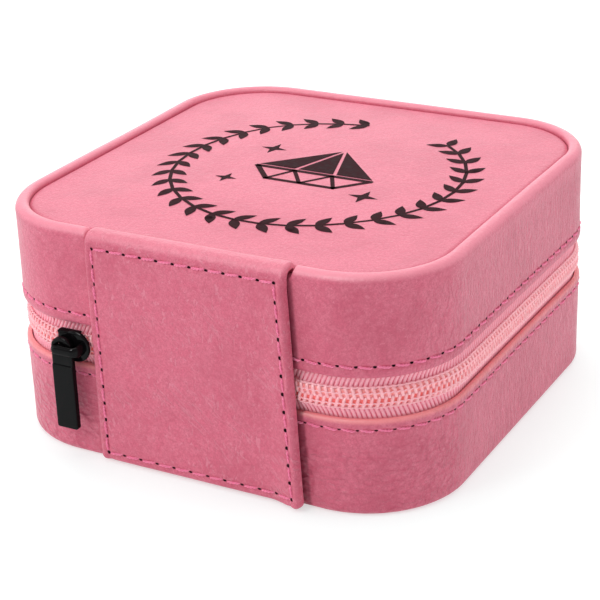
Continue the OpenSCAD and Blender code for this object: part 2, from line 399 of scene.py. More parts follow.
LEATHER = (0.685, 0.129, 0.212)
LEATHER_DEEP = (0.48, 0.060, 0.117)
LEATHER_PALE = (0.75, 0.245, 0.325)
LEATHER_RIM_HIGHLIGHT = (0.84, 0.285, 0.365)
LEATHER_LIP_HIGHLIGHT = (0.92, 0.29, 0.30)
LEATHER_PANEL_SHADOW = (0.17, 0.010, 0.030)


def leather(name, grain=1.0, skin=None, rim_highlight=0.0):
    """Soft faux leather: fine pebbles and cloudy colour, and what skin adds on one part of the case.

    The last argument sets the strength of a painted highlight near the top of the lid's rolled rim, where
    light from above falls."""
    sh = Shader(name, Sheen_Weight=0.105, Sheen_Roughness=0.4, Specular_IOR_Level=0.40)
    at = sh.place()
    pebbles = sh.cells(at, 1.5)
    coarse = sh.cells(sh.warped(at, 0.8, 0.6), 0.62)
    fine = sh.noise(at, 3.2, 3.0, 0.7)
    cloud = sh.noise(at, 0.09)
    patches = sh.noise(at, 0.45, 5.0, 0.65)
    flecks = sh.ramp(sh.noise(at, 1.5, 2.0, 0.5, 0.8), 0.62, 0.74)
    sh.body = sh.mixed(sh.ramp(cloud, 0.35, 0.65), LEATHER_DEEP, LEATHER)
    sh.tint(LEATHER, sh.ramp(cloud, 0.2, 0.8, 0.55, 0.95))
    sh.tint(LEATHER_PALE, sh.ramp(patches, 0.35, 0.65), 0.28)
    sh.tint(LEATHER_DEEP, sh.ramp(pebbles, 0.35, 0.75), 0.28 * grain)
    sh.tint(LEATHER_DEEP, sh.ramp(fine, 0.58, 0.36), 0.52 * grain)
    sh.tint(LEATHER_PALE, flecks, 0.42 * grain)
    layers = [(coarse, -0.05 * grain), (pebbles, -0.05 * grain), (fine, 0.06 * grain), (flecks, 0.02)]
    if skin:
        layers += skin(sh, at)
        # Painted highlight: paler colour along the top of the lid's rolled rim, where light from above falls
        sh.tint(LEATHER_RIM_HIGHLIGHT, sh.ramp(sh.part(at, 2), LID_TOP - 1.7, LID_TOP - 0.25), rim_highlight)
    if skin is wall_skin:
        wall_edges(sh, at)
    return sh.finished(sh.ramp(patches, 0.3, 0.7, 0.36, 0.48), *layers)


def wall_skin(sh, at):
    """Fine upright wrinkles on the -X wall, and broad pebbles low on the +Y corners."""
    side = sh.times(sh.ramp(sh.part(at, 0), -40.0, -49.0), sh.ramp(sh.part(at, 2), 48.5, 45.0))
    upright = sh.vector("MULTIPLY", sh.warped(at, 0.3, 3.0), (0.3, 1.5, 0.30))
    lines = sh.times(sh.ramp(sh.noise(upright, 1.0, 3.0, 0.6, 0.4), 0.36, 0.64), side)
    corner = sh.times(sh.ramp(sh.part(at, 1), 24.0, 40.0), sh.ramp(sh.part(at, 2), 19.0, 12.0))
    flat = sh.warped(sh.vector("MULTIPLY", at, (0.9, 0.9, 1.4)), 0.5, 1.2)
    broad = sh.times(sh.ramp(sh.cells(flat, 0.58), 0.1, 0.9), corner)
    sh.tint(LEATHER_PALE, lines, 0.12)
    sh.tint(LEATHER_DEEP, broad, 0.32)
    return [(lines, 0.13), (broad, -0.34)]


def hinge_skin(sh, at):
    """Faint diagonal creases in two directions, and short upright flecks."""
    layers = []
    creased = sh.ramp(sh.noise(at, 0.075, 1.0), 0.47, 0.60)
    for angle, seed, strength in ((33, 0.0, 0.34), (44, 31.0, 0.22)):
        tilted = sh.add("VectorRotate", {"Vector": at, "Angle": math.radians(angle)}, rotation_type="Y_AXIS")
        long = sh.vector("MULTIPLY", sh.vector("ADD", tilted, (seed,) * 3), (0.11, 0.5, 1.25))
        lines = sh.times(sh.ramp(sh.noise(long, 1.0, 4.0, 0.5, 0.5), 0.57, 0.66), creased)
        sh.tint(LEATHER_PALE, lines, strength)
        layers.append((lines, 0.06))
    upright = sh.vector("MULTIPLY", sh.warped(at, 0.7, 0.6), (1.35, 1.0, 0.62))
    marks = sh.times(sh.ramp(sh.noise(upright, 1.0, 2.0, 0.5, 0.6), 0.59, 0.69),
                     sh.ramp(sh.noise(at, 0.12, 2.0), 0.38, 0.55))
    sh.tint(LEATHER_PALE, marks, 0.48)
    return layers + [(marks, 0.06)]


def wall_edges(sh, at):
    """A painted highlight along the top of the base's lip at the zip, and a painted shadow on the wall
    beside the hinge panel's -X edge.
    """
    x, y, z = (sh.part(at, axis) for axis in range(3))
    # Painted highlight: a paler, warmer band along the top of the base's lip, where light from above falls
    lip = sh.times(sh.ramp(z, BASE_EDGE - 1.3, BASE_EDGE - 0.25), sh.ramp(z, MID_Z, BASE_EDGE + 1.0))
    sh.tint(LEATHER_LIP_HIGHLIGHT, lip, 0.85)
    # Painted shadow: a dark band on the +Y wall just past the hinge panel's -X edge, fading out near the
    # lid's top
    upright = sh.add("Math", {0: x, 1: sh.times(z, RUN_OUT_RISE)}, operation="SUBTRACT")
    edge = PANEL_LOW[0] + RUN_OUT_FOOT
    beside = sh.times(sh.ramp(upright, edge - 1.2, edge - 0.4),
                      sh.times(sh.ramp(y, 46.0, 47.0), sh.ramp(x, 0.0, -5.0)))
    sh.tint(LEATHER_PANEL_SHADOW, beside, sh.ramp(z, LID_TOP - 1.0, LID_TOP - 3.0), 0.6)


def velvet(name, colour, shade):
    sh = Shader(name, Sheen_Weight=0.55, Sheen_Roughness=0.4, Specular_IOR_Level=0.2)
    pile = sh.noise(sh.place(), 7.0, 2.0, 0.7)
    brushed = sh.noise(sh.place(), 0.35, 3.0, 0.6, 1.2)
    sh.body = sh.mixed(sh.ramp(brushed, 0.35, 0.65), shade, colour)
    sh.tint(shade, pile, 0.3)
    return sh.finished(sh.ramp(brushed, 0.3, 0.7, 0.82, 0.95), (pile, 0.09), (brushed, 0.12))


def woven(name):
    """The zip's tape: light ribs, with painted shade between them: the grooves take a darker, redder colour.
    """
    sh = Shader(name, Sheen_Weight=0.06, Sheen_Roughness=0.4, Specular_IOR_Level=0.25)
    strand = sh.noise(sh.vector("MULTIPLY", sh.place(), (4.0, 4.0, 9.0)), 1.0, 2.0, 0.6)
    rib = sh.add("Attribute", {}, "Fac", attribute_name="rib")
    ribs = sh.mixed(sh.ramp(strand, 0.35, 0.65), (1.0, 0.38, 0.47), (1.0, 0.52, 0.60))
    # Painted shade: where the rib attribute is low, in the grooves between the ribs, the colour turns a
    # darker red
    sh.body = sh.mixed(sh.ramp(rib, 0.15, 0.85), (0.80, 0.12, 0.20), ribs)
    return sh.finished(sh.ramp(strand, 0.3, 0.7, 0.6, 0.8), (strand, 0.05))


def mottled(name, colour, shade, gloss, tone, scuff=None, relief=(), stretch=None, spread=0.15, on_cad=False,
            **settings):
    """Plain stuff in two shades. tone is the noise between them, and scuff the one for gloss and relief."""
    sh = Shader(name, **settings)
    at = sh.place(on_cad)
    at = sh.vector("MULTIPLY", at, stretch) if stretch else at
    toned = sh.noise(at, *tone)
    scuffed = sh.noise(at, *scuff) if scuff else toned
    sh.body = sh.mixed(sh.ramp(toned, 0.5 - spread, 0.5 + spread), shade, colour)
    return sh.finished(sh.ramp(scuffed, 0.3, 0.7, *gloss), *((scuffed, depth) for depth in relief))


def yarn(name, colour, shade):
    """Shiny sewing thread with fine fibres along it."""
    return mottled(name, colour, shade, (0.36, 0.55), (9.0, 2.0, 0.6), relief=[0.03],
                   Sheen_Weight=0.3, Sheen_Roughness=0.3, Specular_IOR_Level=0.5)


def card(name, colour):
    """Grey board or wadding, with a fibrous face."""
    return mottled(name, colour, tuple(0.8 * c for c in colour), (0.85, 0.95), (2.0, 4.0, 0.65),
                   relief=[0.08], stretch=(1.0, 1.0, 3.0), spread=0.2, on_cad=True, Specular_IOR_Level=0.2)


def enamel(name, colour=(0.0035, 0.003, 0.0035), roughness=0.22, on_cad=False):
    """Gloss black, with a little dust."""
    sh = Shader(name, Specular_IOR_Level=0.0, Coat_Weight=0.24, Coat_Roughness=0.04)
    ripple = sh.noise(sh.place(on_cad), 0.55, 2.0)
    dust = sh.noise(sh.place(on_cad), 5.0, 4.0, 0.7)
    sh.body = sh.mixed(sh.ramp(dust, 0.62, 0.8), colour, tuple(3.0 * c for c in colour))
    return sh.finished(sh.ramp(dust, 0.3, 0.75, roughness, roughness + 0.14), (ripple, 0.02), (dust, 0.002))


def ink(name, colour, shade):
    """Burnt ornament on leather, and the painted shade of needle holes: dark, faintly grained and less
    glossy than the leather.
    """
    sh = Shader(name, Specular_IOR_Level=0.03)
    patch = sh.noise(sh.place(), 0.8, 3.0, 0.6)
    sh.body = sh.mixed(sh.ramp(patch, 0.35, 0.7), colour, shade)
    return sh.finished(sh.ramp(patch, 0.3, 0.7, 0.5, 0.65), (sh.cells(sh.place(), 1.7), -0.03))


LEATHER_WALL = leather("pink_leather_walls", skin=wall_skin, rim_highlight=0.75)
LEATHER_TOP = leather("pink_leather_top", grain=0.7)
LEATHER_HINGE = leather("pink_leather_hinge", skin=hinge_skin, rim_highlight=0.38)
VELVET = velvet("blush_velvet", (0.80, 0.55, 0.56), (0.62, 0.36, 0.38))
ROLL_VELVET = velvet("blush_roll_velvet", (0.82, 0.58, 0.59), (0.66, 0.40, 0.42))
TAPE = woven("woven_tape")
COIL = mottled("salmon_coil", (1.0, 0.52, 0.56), (1.0, 0.43, 0.48), (0.32, 0.48), (0.6, 3.0), (6.0, 3.0),
               relief=[0.008], Specular_IOR_Level=0.5)
CORE = yarn("red_core_cord", (1.0, 0.21, 0.19), (0.95, 0.13, 0.13))
CORE_PALE = yarn("rose_core_cord", (1.0, 0.38, 0.37), (1.0, 0.27, 0.27))
SEWING = yarn("pale_zip_sewing", (1.0, 0.55, 0.60), (1.0, 0.42, 0.49))
THREAD = yarn("magenta_thread", (0.95, 0.30, 0.46), (0.78, 0.09, 0.25))
# Near-black painted shade for the needle holes, in the ornament's dark finish
HOLE_SHADE = ink("needle_hole_shade", (0.010, 0.001, 0.003), (0.020, 0.003, 0.006))
INK = ink("ornament_ink", (0.022, 0.003, 0.006), (0.036, 0.006, 0.010))
BLACK = enamel("black_enamel")
BLACK_CAD = enamel("black_enamel_stops", roughness=0.25, on_cad=True)
BOARD = card("grey_board", (0.42, 0.33, 0.24))
FOAM = card("white_wadding", (0.88, 0.86, 0.82))
MIRROR = mottled("silvered_glass", (0.92, 0.94, 0.95), (0.88, 0.9, 0.91), (0.015, 0.03), (0.05, 2.0),
                 spread=0.2, on_cad=True, Metallic=1.0, Specular_IOR_Level=0.5)


def settle(piece, body, slot_name, *nodes):
    """Parents a piece to the body it rides on, and hides the CAD nodes it stands for. slot_name is not used.
    """
    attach(piece, body)
    if nodes:
        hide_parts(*nodes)
    return piece


# ---- Leather walls ----

def wall_skirt(corners, spacing=0.42):
    """Distances round the wall, and a profile's outward and upward places at each of them."""
    stations = all_round(WALL, spacing)
    out, up = rounded(corners, spacing, closed=True).T
    return stations, np.tile(out, (len(stations), 1)), np.tile(up, (len(stations), 1))


def under_panel(s, path, near, far):
    """1 at distances along a path that the hinge panel covers, and 0 from far beside it."""
    x = np.where(s > loop_length(path) / 2, s - loop_length(path), s)
    left, right = PANEL_LOW[0], PANEL_HIGH[0]
    return smoothstep(x, left - far, left - near) * (1 - smoothstep(x, right + near, right + far))


def wall_relief(points, weight):
    """How far soft creases push the wall's face in or out."""
    slow = 0.16 * rough(points, (0.035, 0.035, 0.05), 3.1)
    corner = smoothstep(points[..., 1] - points[..., 0], 62, 80)
    pebbly = 0.07 * rough(points, (0.45, 0.45, 0.55), 9.2) * (0.25 + corner)
    return (slow + pebbly) * weight


def wavy(stations, scale, seed):
    """Slow waves along the wall."""
    return rough(stations * [scale, 0, 0], 1.0, seed)[:, None]


def wall_cover(body, points):
    piece = Pile().grid(points, True, True).make(body + "_cover", LEATHER_WALL)
    return settle(piece, body, "leather", body + "_wall_cover")


def base_cover():
    """Wall leather of the base: turned under at the foot, with a padded lip along the zip."""
    seam = BASE_EDGE - SEAM_IN
    stations, out, up = wall_skirt([
        (-7.0, 1.2, 0), (-7.0, 0.12, 0.4), (0.0, 0.08, 1.3), (0.0, seam - 0.8, 0.8),
        (-GROOVE, seam, 0.4), (0.16, seam + 0.75, 0.5), (0.1, BASE_EDGE, 0.85),
        (-0.95, BASE_EDGE - 0.05, 0.22), (-0.95, 1.2, 0),
    ])
    face = smoothstep(out, -0.9, -0.1) * smoothstep(up, 0.3, 3.0)
    lip = smoothstep(up, seam, BASE_EDGE)
    out += wall_relief(swept(WALL, stations, out, up), face * (1 - lip * 0.5))
    up += 0.13 * wavy(stations, 0.05, 5.5) * lip
    return wall_cover("base", swept(WALL, stations, out, up))


def lid_cover():
    """Wall leather of the lid, with a rolled rim round the top that dips under the hinge panel."""
    seam = LID_EDGE + SEAM_IN
    stations, out, up = wall_skirt([
        (-1.15, BOARD_TOP + 0.05, 0), (-1.15, LID_EDGE + 0.05, 0.25), (0.1, LID_EDGE, 0.95),
        (0.14, seam - 0.8, 0.5), (-GROOVE, seam, 0.4), (0.0, seam + 0.8, 0.8),
        (0.0, LID_TOP, 1.75), (-RIM_W, LID_TOP, 1.0), (-RIM_W, BOARD_TOP + 0.05, 0),
    ])
    face = smoothstep(out, -0.9, -0.1) * (1 - smoothstep(up, 46.0, 49.5))
    rim = smoothstep(up, LID_TOP - 2.5, LID_TOP)
    over_board = np.clip(up - (BOARD_TOP - 0.6), 0, None)
    covered = under_panel(stations, WALL, -0.25, 0.75)
    out += wall_relief(swept(WALL, stations, out, up), face)
    out += 0.14 * wavy(stations, 0.052, 8.3) * rim - 0.1 * covered
    up += 0.10 * wavy(stations, 0.04, 1.7) * rim - 0.62 * over_board * covered
    return wall_cover("lid", swept(WALL, stations, out, up))


def foot_panel():
    """Leather let into the underside, with a soft dip round its edge."""
    half = box("base_bottom_panel")[1][0]
    path = (half, CORNER_R - (HALF - half))
    out, up = rounded([
        (-8.0, 1.15, 0), (0, 1.15, 0.2), (0, 0.25, 0.3), (-0.9, 0.02, 0.4), (-8.0, 0.02, 0),
    ]).T
    pile = Pile().band(swept(path, all_round(path, 0.8), out, up))
    settle(pile.make("foot_panel", LEATHER_TOP), "base", "leather", "base_bottom_panel")


# ---- Padded lid top ----

def crown(x, y):
    """Height of the padded top: low at its edge, and slightly domed."""
    inset = -outside(x, y, TOP)
    roll = np.clip(1 - inset / 1.5, 0, 0.999)
    dome = 0.55 * smoothstep(inset, 0.0, 30.0)
    return TOP_HIGH[2] - 0.95 * (1 - np.sqrt(1 - roll ** 2)) + dome - 0.2


def lid_top():
    """Padded leather top, tucked down inside the rim."""
    x, y, _, _ = spot(all_round(TOP, 0.55)[:, 0], TOP)
    near = 1 - np.array([0, 0.08, 0.2, 0.35, 0.5, 0.7, 0.9, 1.15, 1.4]) / TOP[0]
    rings = np.concatenate([near, np.linspace(near[-1], 0.006, 100)[1:]])[:, None]
    top = np.stack([rings * x, rings * y, crown(rings * x, rings * y)], -1)
    top[..., 2] += 0.05 * rough(top, (0.06, 0.06, 0.0), 4.4) * smoothstep(1 - rings, 0.02, 0.1)
    foot = top[:1].copy()
    foot[..., 2] = BOARD_TOP + 0.05
    pile = Pile().rod(np.concatenate([foot, top]), inward=True)
    piece = settle(pile.make("lid_top", LEATHER_TOP), "lid", "leather", "lid_top_panel")


# ---- Ornament: a wreath round a cut gem, all made up ----

def inlay(pile, outline):
    """Adds a thin plate with that outline, lying on the padded top."""
    outline = np.asarray(outline, float)
    n = len(outline)
    centre = outline.mean(0)
    flat = np.concatenate([outline, centre + (outline - centre) * 0.5, [centre]])
    z = crown(flat[:, 0], flat[:, 1]) + 0.05
    faces = []
    for i in range(n):
        j = (i + 1) % n
        faces += [(i, j, n + j, n + i), (n + i, n + j, 2 * n)]
    pile.add(np.column_stack([flat, z]), faces)


def heading(angle):
    return np.array([math.cos(angle), math.sin(angle)])


def crossing(d):
    """A flat direction turned a quarter turn to the left."""
    return np.array([-d[1], d[0]])


def leaf(pile, stem, angle, length, width, steps=9):
    t = np.linspace(0, 1, steps)
    middle = stem + np.outer(t * length, heading(angle))
    bulge = np.outer(width / 2 * np.sin(math.pi * t ** 0.8), crossing(heading(angle)))
    inlay(pile, np.concatenate([middle + bulge, (middle - bulge)[::-1][1:-1]]))


def stroke(pile, points, width):
    """Adds a line of even width as flat plates."""
    points = np.asarray(points, float)
    for p, q in zip(points, points[1:]):
        d = unit(q - p)
        side = crossing(d) * width / 2
        over = d * width * 0.4
        inlay(pile, [p - side - over, q - side + over, q + side + over, p + side - over])


def ornament():
    """A wreath of leaves and berries, open at one side, round a cut gem with three sparkles."""
    pile = Pile()
    middle = np.array([-3.0, 0.0])
    radius, berry_radius = 31.5, 0.85
    sprigs = 31
    angles = np.radians(np.linspace(-158, 158, sprigs) + 75)
    stems = [middle + radius * heading(a) for a in angles]
    for i, (a, stem) in enumerate(zip(angles, stems)):
        onward = a + RIGHT_ANGLE
        leaf(pile, stem, onward - 0.85, 5.2, 2.3)
        leaf(pile, stem, onward + 0.85, 5.0, 2.2)
        if i % 3 == 0:
            inlay(pile, stem + 1.3 * heading(onward) + 1.9 * heading(a) + berry_radius * around(14))
        stroke(pile, stems[i:i + 2], 0.8)
    gem(pile, middle)
    settle(pile.make("lid_ornament", INK), "lid", "leather")


def gem(pile, middle):
    """A cut gem seen from the side: filled lower facets, outlined upper ones, and sparkles beside it."""
    table, girdle, crown_y, girdle_y, point_y = 8.0, 13.5, 8.5, 2.2, -12.5
    outline = [(-table, crown_y), (table, crown_y), (girdle, girdle_y), (-girdle, girdle_y)]
    zigzag = [(-table, crown_y), (-4.5, girdle_y), (0, crown_y), (4.5, girdle_y), (table, crown_y)]
    stroke(pile, middle + [*outline, outline[0]], 1.2)
    stroke(pile, middle + zigzag, 0.9)
    for left, right, tip, tip_y in ((-girdle, -5.0, -0.5, point_y), (-4.2, 4.2, 0, point_y + 0.6),
                                    (5.0, girdle, 0.5, point_y)):
        inlay(pile, middle + [(left, girdle_y - 1), (right, girdle_y - 1), (tip, tip_y)])
    for x, y, size in ((-16.0, 10.5, 3.4), (16.0, 11.5, 2.6), (15.5, -8.5, 3.2)):
        reach = size * np.tile([1, 0.34], 4)[:, None]
        inlay(pile, middle + [x, y] + reach * around(8))


# ---- Stitches ----

class Seam:
    """A row of stitches: threads, and a near-black mark at the end of each stitch, painted shade of its
    needle hole.
    """

    def __init__(self, cover, slant):
        points = [v.co / MM for v in cover.data.vertices]
        self.cover = BVHTree.FromPolygons(points, [tuple(f.vertices) for f in cover.data.polygons])
        self.slant = slant
        self.threads = Pile()
        self.holes = Pile()

    def under(self, p, normal):
        """The first point of the cover below p, looking against the normal."""
        hit = self.cover.ray_cast(Vector(p + normal * 2.0), Vector(-normal), 4.0)[0]
        return p if hit is None else np.array(hit)

    def stitch(self, place, length):
        """Adds one stitch. place gives a point, its outward normal and the way across the seam."""
        u = np.linspace(0.0, 1.0, 19)
        lift = -0.62 + 0.80 * (1 - np.abs(2 * u - 1) ** 3)
        line, ups = [], []
        for t, rise in zip(u, lift):
            p, normal, across = place(t * length)
            line.append(self.under(p, normal) + normal * rise + across * self.slant * (t - 0.5))
            ups.append(normal)
        self.twist(np.array(line), np.array(ups))
        self.hole(self.under(p, normal) + across * 0.5 * self.slant, normal, across)

    def twist(self, line, up, radius=0.28, lay_length=1.5):
        """Adds a two-ply thread along a line."""
        side, rise = sides_of(line, up)
        for start in (0, math.pi):
            a = (travelled(line) / lay_length * TAU + start)[:, None]
            self.threads.tube(line + radius * 0.48 * (side * np.cos(a) + rise * np.sin(a)), up,
                              radius * 0.58, sides=6)

    def hole(self, p, normal, across):
        """Adds a small near-black cone on the cover: painted shade of a needle hole."""
        sides = 10
        rim = p + normal * 0.05 + around(sides) @ np.array([0.42 * np.cross(across, normal), 0.40 * across])
        self.holes.add(np.concatenate([rim, [p + normal * 0.10]]),
                       [(i, (i + 1) % sides, sides) for i in range(sides)])


def wall_stitches(name, body, z, node, cover):
    """A row of stitches round a wall, from one side of the hinge panel to the other."""
    seam = Seam(cover, slant=0.5)
    start = distance_at_x(PANEL_HIGH[0] - 1.5, WALL)
    end = loop_length(WALL) + distance_at_x(PANEL_LOW[0] + 1.5, WALL)
    count = int(round((end - start) / WALL_PITCH))
    pitch = (end - start) / count
    for k in range(count):
        def place(u, first=start + k * pitch):
            x, y, nx, ny = spot(first + u, WALL)
            return np.array([x, y, z]), np.array([nx, ny, 0]), np.array([0, 0, 1.0])
        seam.stitch(place, pitch)
    settle(seam.threads.make(name, THREAD), body, "thread", node)
    settle(seam.holes.make(name + "_holes", HOLE_SHADE), body, "leather")


# ---- Hinge panel ----

def run_out(z):
    """How far the panel's -X edge lies from its place in the frame, at height z."""
    return RUN_OUT_FOOT + RUN_OUT_RISE * z


def across_fold(piece, slot_name, *nodes):
    """Hides the CAD nodes that a piece across the fold stands for, and bakes its transform into its mesh."""
    if nodes:
        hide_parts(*nodes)
    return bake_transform(piece)


def panel_depth(line, lengths, x):
    """The panel's thickness: turned-over edges, a groove along the stitches and a fuller hem."""
    from_side = np.minimum(x - PANEL_LOW[0], PANEL_HIGH[0] - x)
    z = line[:, 1:]
    edge = np.minimum(np.minimum(from_side, lengths), lengths[-1] - lengths)
    turned = np.sqrt(np.clip(1 - (1 - np.clip(edge / 0.95, 0, 1)) ** 2, 0.002, 1))
    on_wall = z < PANEL_SEAM_TOP + 1.0
    from_seam = np.minimum(np.abs(from_side - PANEL_SEAM), np.abs(z - PANEL_SEAM_FOOT))
    from_seam = np.minimum(from_seam, np.abs(z - PANEL_SEAM_TOP))
    hem = smoothstep(from_side, PANEL_SEAM, PANEL_SEAM - 0.7) * smoothstep(from_side, 0.2, 0.8)
    groove = 0.2 * np.exp(-(from_seam / 0.42) ** 2)
    thick = (HINGE_FACE - HALF - 0.05) * (1 - 0.18 * over_rim(lengths))
    return thick * turned + (0.16 * hem - groove) * on_wall, turned


def over_rim(lengths):
    """1 where the panel has turned over the lid's rim, and 0 on the wall."""
    return smoothstep(lengths, lengths[-1] - 6.5, lengths[-1] - 3.5)


def hinge_panel():
    """The stitched leather panel, in one piece across the fold. Its rows go from its foot to its tip."""
    line = rounded([
        (HALF + 0.05, 0.4, 0), (HALF + 0.05, CREST - 1.3, 1.2), (HALF - RIM_W + 0.35, CREST - 1.3, 0.5),
        (HALF - RIM_W + 0.3, BOARD_TOP + 0.6, 0),
    ])
    lengths = travelled(line)[:, None]
    tangent = unit(np.gradient(line, axis=0))
    normal = np.column_stack([0 * lengths, tangent[:, 1], -tangent[:, 0]])[:, None]
    left, right = PANEL_LOW[0], PANEL_HIGH[0]
    x = np.concatenate([np.linspace(0, 1.2, 7), np.linspace(1.6, 44.2, 107), np.linspace(44.6, 45.8, 7)])
    x = x / x[-1] * (right - left) + left
    depth, turned = panel_depth(line, lengths, x)
    # The -X edge stands off the wall, and most so at its foot
    lifted = 1.4 * smoothstep(x, left + 7.0, left + 0.2)
    lifted = lifted * (1 - 0.65 * smoothstep(lengths, 0.0, 46.0)) * (1 - 0.8 * over_rim(lengths))
    grid_x = x + run_out(line[:, 1:]) * (right - x) / (right - left)
    foot_r = 1.6
    short = np.clip(foot_r - lengths, 0, foot_r)
    cut = (foot_r - np.sqrt(foot_r ** 2 - short ** 2)) / (right - left) * 2
    grid_x = grid_x - cut * (grid_x - (left + right) / 2)
    inner = np.stack(np.broadcast_arrays(grid_x, line[:, :1], line[:, 1:]), -1) + normal * lifted[..., None]
    outer = inner + normal * depth[..., None]
    soft = 0.10 * rough(outer, (0.06, 0.06, 0.05), 2.2) + 0.03 * rough(outer, (0.5, 0.5, 0.5), 6.1)
    outer += normal * (soft * turned)[..., None]
    pile = Pile().grid(outer[:, ::-1]).grid(inner)
    inner_at = np.arange(depth.size).reshape(depth.shape)
    outer_at = inner_at[:, ::-1]
    inner_at = inner_at + depth.size
    for rows in ((inner_at[0], outer_at[0]), (outer_at[-1], inner_at[-1]),
                 (outer_at[:, 0], inner_at[:, 0]), (inner_at[:, -1], outer_at[:, -1])):
        pile.faces += quads(np.stack(rows))
    piece = pile.make("hinge_leather", LEATHER_HINGE)
    return across_fold(piece, "hinge_leather", "hinge_panel_lower", "hinge_panel_upper")


def hinge_stitches(panel):
    """A rectangle of stitches on the hinge panel."""
    seam = Seam(panel, slant=0.3)
    out = np.array([0, 1.0, 0])
    free, tight = PANEL_LOW[0] + PANEL_SEAM, PANEL_HIGH[0] - PANEL_SEAM
    corners = [np.array([x, HINGE_FACE + 1.0, z]) for x, z in (
        (free + run_out(PANEL_SEAM_FOOT), PANEL_SEAM_FOOT), (free + run_out(PANEL_SEAM_TOP), PANEL_SEAM_TOP),
        (tight, PANEL_SEAM_TOP), (tight, PANEL_SEAM_FOOT))]
    for p, q in zip(corners, corners[1:] + corners[:1]):
        span = np.linalg.norm(q - p)
        along = (q - p) / span
        count = int(round(span / PANEL_PITCH))
        for k in range(count):
            def place(u, first=p + along * k * span / count):
                return first + along * u, out, np.cross(out, along)
            seam.stitch(place, span / count)
    thread = seam.threads.make("hinge_thread", THREAD)
    across_fold(thread, "thread", "hinge_thread_lower", "hinge_thread_upper")
    across_fold(seam.holes.make("hinge_thread_holes", HOLE_SHADE), "hinge_leather")


def hinge_backing():
    """Velvet strip behind the fold, in one piece, bowed towards the room."""
    x = np.linspace(BACKING_LOW[0], BACKING_HIGH[0], 40)
    z = np.linspace(BACKING_LOW[2], LID_EDGE, 36)[:, None]
    bow = 0.105 * np.sin(math.pi * (z - z[0]) / (z[-1] - z[0]))
    outer, inner = (np.stack(np.broadcast_arrays(x, y, z), -1)
                    for y in (BACKING_HIGH[1] - 0.02, BACKING_LOW[1] + 0.1 - bow))
    piece = Pile().band(np.concatenate([outer, inner[::-1]])).make("hinge_velvet", VELVET)
    across_fold(piece, "velvet", "hinge_backing_lower", "hinge_backing_upper")


# ---- Zip ----

ZIP_START = 17.8
ZIP_END = loop_length(ZIP) - ZIP_START
CLOSED_END = distance_at_x(box("zip_tape_end")[1][0], ZIP)


def pressed(s):
    """How far the hinge panel presses the chain in, at distances s along the zip."""
    return CHAIN_PRESS * under_panel(s, ZIP, 0.0, 1.5)


def tape(name, body, start, end, far, tuck, node):
    """A ribbed woven tape between two distances along the zip.

    far is how high its hidden edge lies over the zip's middle, and tuck how deep behind the wall's face."""
    near = math.copysign(TAPE_NEAR, far)
    s = np.arange(start, end, RIB_PITCH / 7)[:, None]
    rows = near + (far - near) * np.array([*np.linspace(0, 0.66, 11), 0.74, 0.82, 0.91, 1.0])
    ribbed = np.abs(np.sin((s + 0.35 * np.abs(rows)) / RIB_PITCH * math.pi)) ** 0.8
    x, y, _, _ = spot(s, ZIP)
    swell = (0.85 - 1.6 * pressed(s)) * (1 - smoothstep(np.abs(rows), 1.4, 4.4))
    hang = (-outside(x, y, WALL) - tuck) * smoothstep(np.abs(rows), 2.2, 4.4)
    front = TAPE_R + swell + hang + 0.34 * ribbed - 0.18
    back = -TAPE_R + swell + hang
    rings = swept(ZIP, s, np.hstack([front, back[:, ::-1]]), MID_Z + np.concatenate([rows, rows[::-1]]))
    piece = Pile().rod(rings).make(name, TAPE, sharp=80.0)
    # The rib attribute also sets the painted shade in the grooves between the ribs
    level = piece.data.attributes.new("rib", "FLOAT", "POINT")
    level.data.foreach_set("value", np.hstack([ribbed, ribbed[:, ::-1]]).astype(np.float32).ravel())
    settle(piece, body, "zip_tape", node)


def outward(s):
    """Outward directions at distances s along the zip."""
    _, _, nx, ny = spot(s, ZIP)
    return np.stack([nx, ny, 0 * nx], -1)


def coil(name, body, first, last, side, node):
    """A nylon coil wound round its cord from turn first to last, and the sewing that holds it down."""
    overlap, bend_r = 0.35, 0.33
    turns = np.arange(first * 12, last * 12 + 1) / 12
    s = (turns + (0.5 if side > 0 else 0.0)) * COIL_PITCH
    cos, sin = np.cos(turns * TAU), np.sin(turns * TAU)
    swing = np.sign(cos) * np.abs(cos) ** 0.75
    lift = np.sign(sin) * np.abs(sin) ** 0.6
    middle = (COIL_REACH - overlap) / 2
    z = MID_Z + side * (middle - (COIL_REACH + overlap - 2 * bend_r) / 2 * swing)
    line = swept(ZIP, s, COIL_OUT - pressed(s) + 0.26 * lift, z)
    pile = Pile().tube(line, np.cross(outward(s), (0, 0, 1)), 0.40, 0.38, sides=7)
    settle(pile.make(name, COIL), body, "zip_coil", node)

    s = np.arange(first * COIL_PITCH, last * COIL_PITCH, 1.2)
    line = swept(ZIP, s, COIL_OUT - 0.08 - pressed(s), MID_Z + side * middle)
    cord = Pile().tube(line, outward(s), middle, 0.34, sides=10)
    settle(cord.make(name + "_core", CORE_PALE if side > 0 else CORE), body, "zip_coil")

    sewing = Pile()
    s = np.arange(first * COIL_PITCH, last * COIL_PITCH, COIL_PITCH / 6)
    turn = (s / COIL_PITCH + (0.25 if side > 0 else 0.75)) * TAU
    for row, radius, rise in ((0.52 * COIL_REACH, 0.16, 0.52), (0.04 + COIL_REACH, 0.20, 0.0)):
        z = MID_Z + side * (row + 0.06 * np.sin(turn))
        line = swept(ZIP, s, COIL_OUT + rise - pressed(s) + 0.09 * np.cos(turn), z)
        sewing.tube(line, outward(s), radius, sides=6)
    settle(sewing.make(name + "_sewing", SEWING), body, "zip_tape")


